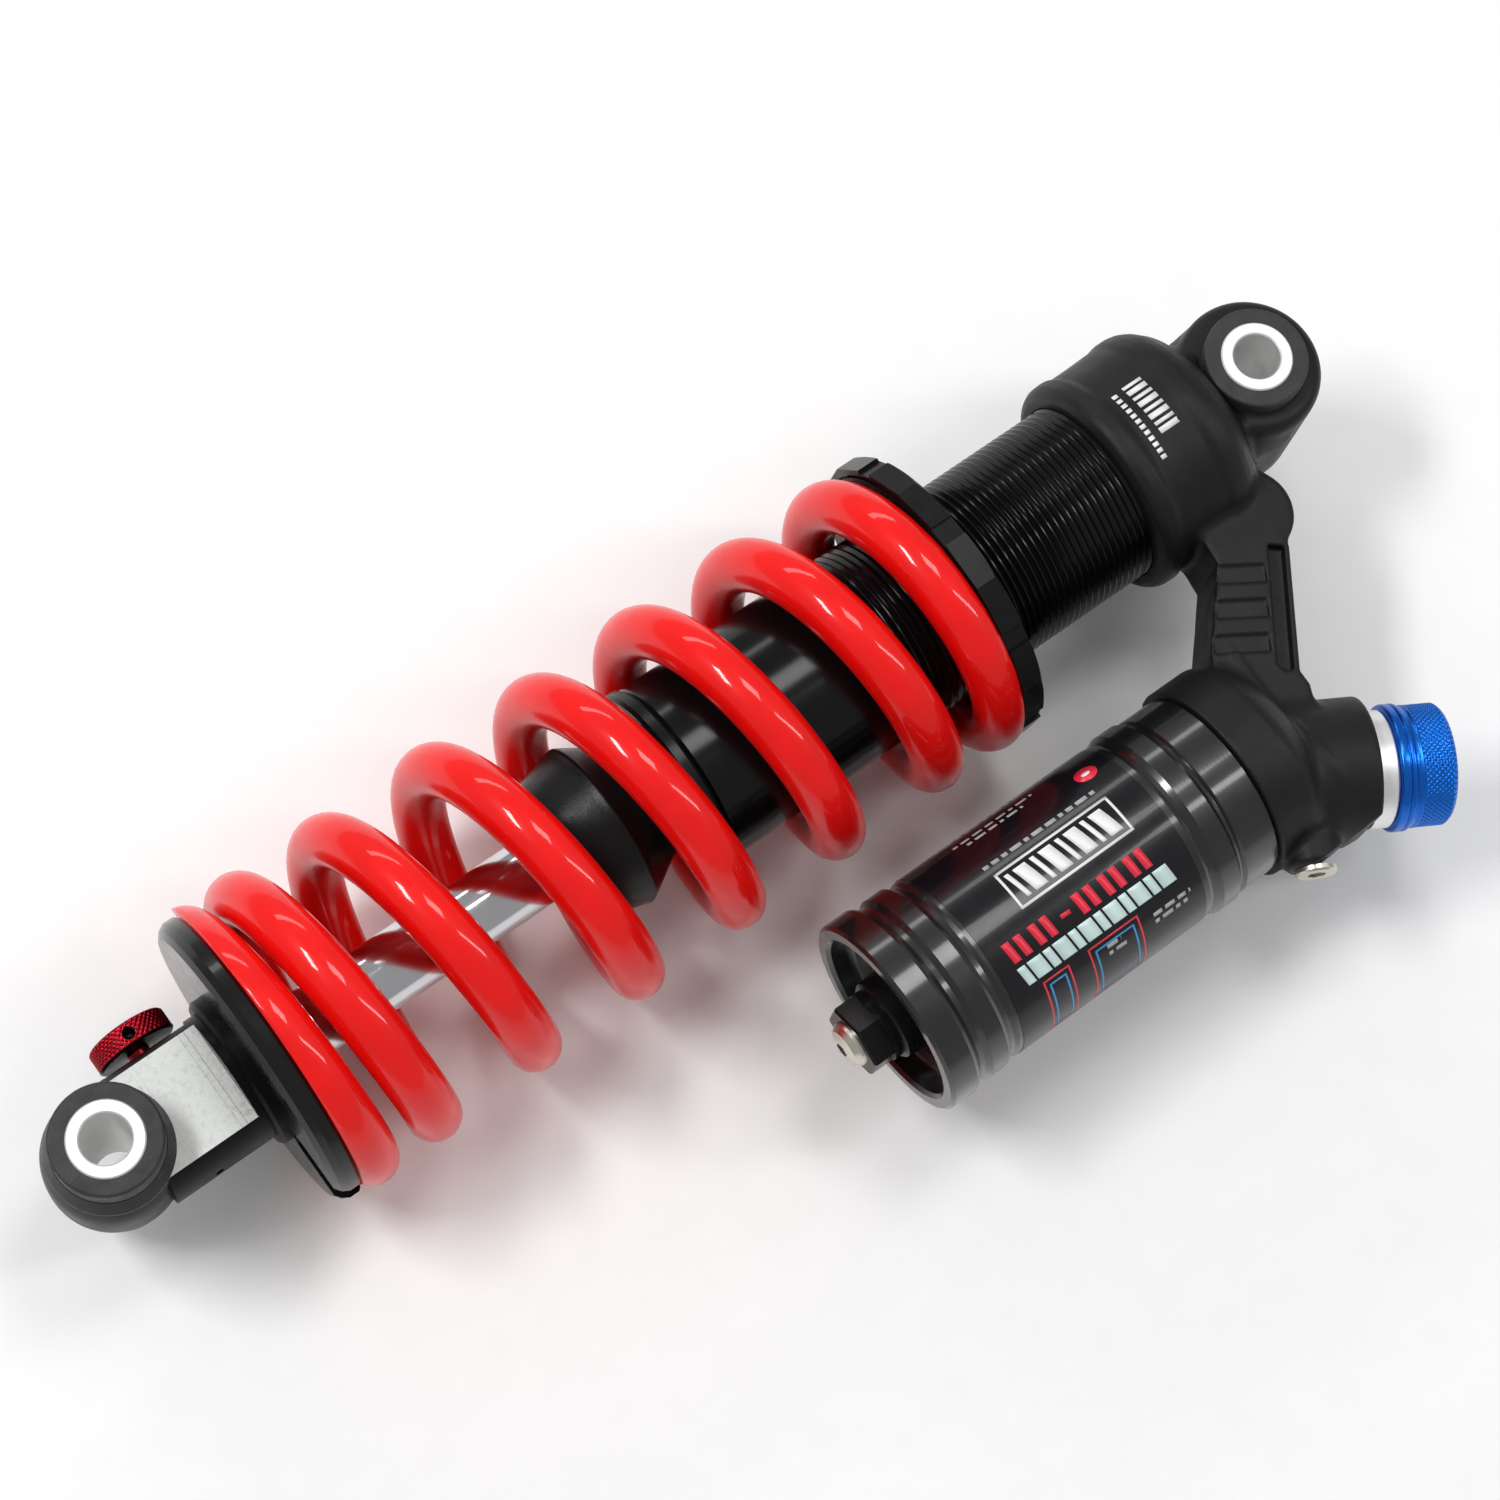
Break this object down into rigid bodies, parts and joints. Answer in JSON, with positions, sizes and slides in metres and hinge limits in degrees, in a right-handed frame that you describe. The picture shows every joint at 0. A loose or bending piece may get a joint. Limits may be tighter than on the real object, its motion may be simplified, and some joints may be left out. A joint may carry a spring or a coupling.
{
  "type": "coil-over damper",
  "caption": "Rear coil-over shock with piggyback reservoir: red coil on a sliding chrome shaft, threaded preload collar, rebound and compression dials, sleeved eyes.",
  "frame": {"origin": "centre of the body-eye bore, halfway along its sleeve", "axes": "+X along the damper axis from the shaft eye to the body eye; +Z along both eye bores; the reservoir is on the -Y side"},
  "size_m": [0.2647, 0.113, 0.0574],
  "materials": {
    "cast_head": "satin textured black",
    "black_anodised": "satin black anodised",
    "gloss_black": "gloss black anodised",
    "eye_black": "satin black anodised with bright milled flats",
    "raw_aluminium": "machined",
    "polymer_bush": "matte textured",
    "chrome_shaft": "polished",
    "red_spring": "gloss powder coat",
    "red_anodised": "red anodised, diamond knurl",
    "blue_anodised": "blue anodised, diamond knurl",
    "zinc_steel": "zinc plated",
    "steel": "ground",
    "rubber": "matte",
    "bronze": "smooth",
    "label_film": "gloss film with plain coloured bars"
  },
  "bodies": {
    "damper": {"body_head": "cast_head", "body_eye_bush_upper": "polymer_bush", "body_eye_bush_lower": "polymer_bush", "damper_tube": "black_anodised", "seal_head": "black_anodised", "wiper_seal": "rubber", "seal_head_bush": "bronze", "seal_head_ring": "rubber", "bump_stop": "rubber", "coil_spring": "red_spring", "reservoir_can": "gloss_black", "retaining_ring": "steel", "reservoir_end_cap": "gloss_black", "gas_valve": "gloss_black", "valve_screw": "zinc_steel", "reservoir_label": "label_film", "adjuster_body": "raw_aluminium", "bleed_screw": "zinc_steel"},
    "shaft_unit": {"shaft_eye": "eye_black", "shaft_eye_bush_upper": "polymer_bush", "shaft_eye_bush_lower": "polymer_bush", "lower_perch": "gloss_black", "shaft": "chrome_shaft", "top_out_bumper": "rubber", "rebound_shims": "steel", "piston": "raw_aluminium", "piston_band": "bronze", "compression_shims": "steel", "piston_nut": "zinc_steel"},
    "rebound_dial": {"rebound_knob": "red_anodised", "rebound_knob_screw": "zinc_steel"},
    "rebound_metering": {"rebound_rod": "raw_aluminium"},
    "gas_piston": {"floating_piston": "raw_aluminium", "floating_piston_seal": "rubber"},
    "preload_seat": {"spring_seat": "black_anodised"},
    "preload_nut": {"preload_collar": "black_anodised"},
    "compression_dial": {"compression_knob": "blue_anodised"},
    "compression_metering": {"compression_needle": "steel"},
    "body_sleeve": {"body_eye_sleeve": "raw_aluminium"},
    "shaft_sleeve": {"shaft_eye_sleeve": "raw_aluminium"}
  },
  "joints": [
    {"name": "shaft_slide", "type": "slide", "parent": "damper", "child": "shaft_unit", "axis": [1, 0, 0], "range_m": [0, 0.07], "stiffness_N_per_m": 148000, "deforming": ["coil_spring", "bump_stop"]},
    {"name": "gas_piston_slide", "type": "slide", "parent": "damper", "child": "gas_piston", "axis": [-1, 0, 0], "range_m": [0, 0.0114]},
    {"name": "collar_turn", "type": "hinge", "parent": "preload_seat", "child": "preload_nut", "pos_m": [-0.0688, 0, 0], "axis": [1, 0, 0], "range_deg": [0, 2160]},
    {"name": "seat_slide", "type": "slide", "parent": "damper", "child": "preload_seat", "axis": [1, 0, 0], "range_m": [0, 0.0084]},
    {"name": "rebound_turn", "type": "hinge", "parent": "shaft_unit", "child": "rebound_dial", "pos_m": [-0.2266, 0.015, -0.0029], "axis": [0, 1, 0], "range_deg": [0, 540]},
    {"name": "rebound_rod_slide", "type": "slide", "parent": "shaft_unit", "child": "rebound_metering", "axis": [1, 0, 0], "range_m": [0, 0.0016]},
    {"name": "compression_turn", "type": "hinge", "parent": "damper", "child": "compression_dial", "pos_m": [-0.01861, -0.07262, 0], "axis": [-0.8721, 0.4894, 0], "range_deg": [0, 540]},
    {"name": "compression_needle_slide", "type": "slide", "parent": "damper", "child": "compression_metering", "axis": [-0.8721, 0.4894, 0], "range_m": [0, 0.0016]},
    {"name": "body_sleeve_turn", "type": "hinge", "parent": "damper", "child": "body_sleeve", "pos_m": [0, 0, 0], "axis": [0, 0, 1], "continuous": true},
    {"name": "shaft_sleeve_turn", "type": "hinge", "parent": "shaft_unit", "child": "shaft_sleeve", "pos_m": [-0.24, 0, 0], "axis": [0, 0, 1], "continuous": true}
  ],
  "couplings": [
    {"joint": "gas_piston_slide", "follows": "shaft_slide", "ratio": 0.16209},
    {"joint": "seat_slide", "follows": "collar_turn", "m_per_rad": 0.00021804},
    {"joint": "rebound_rod_slide", "follows": "rebound_turn", "m_per_rad": 0.00015915},
    {"joint": "compression_needle_slide", "follows": "compression_turn", "m_per_rad": 0.00015915}
  ]
}
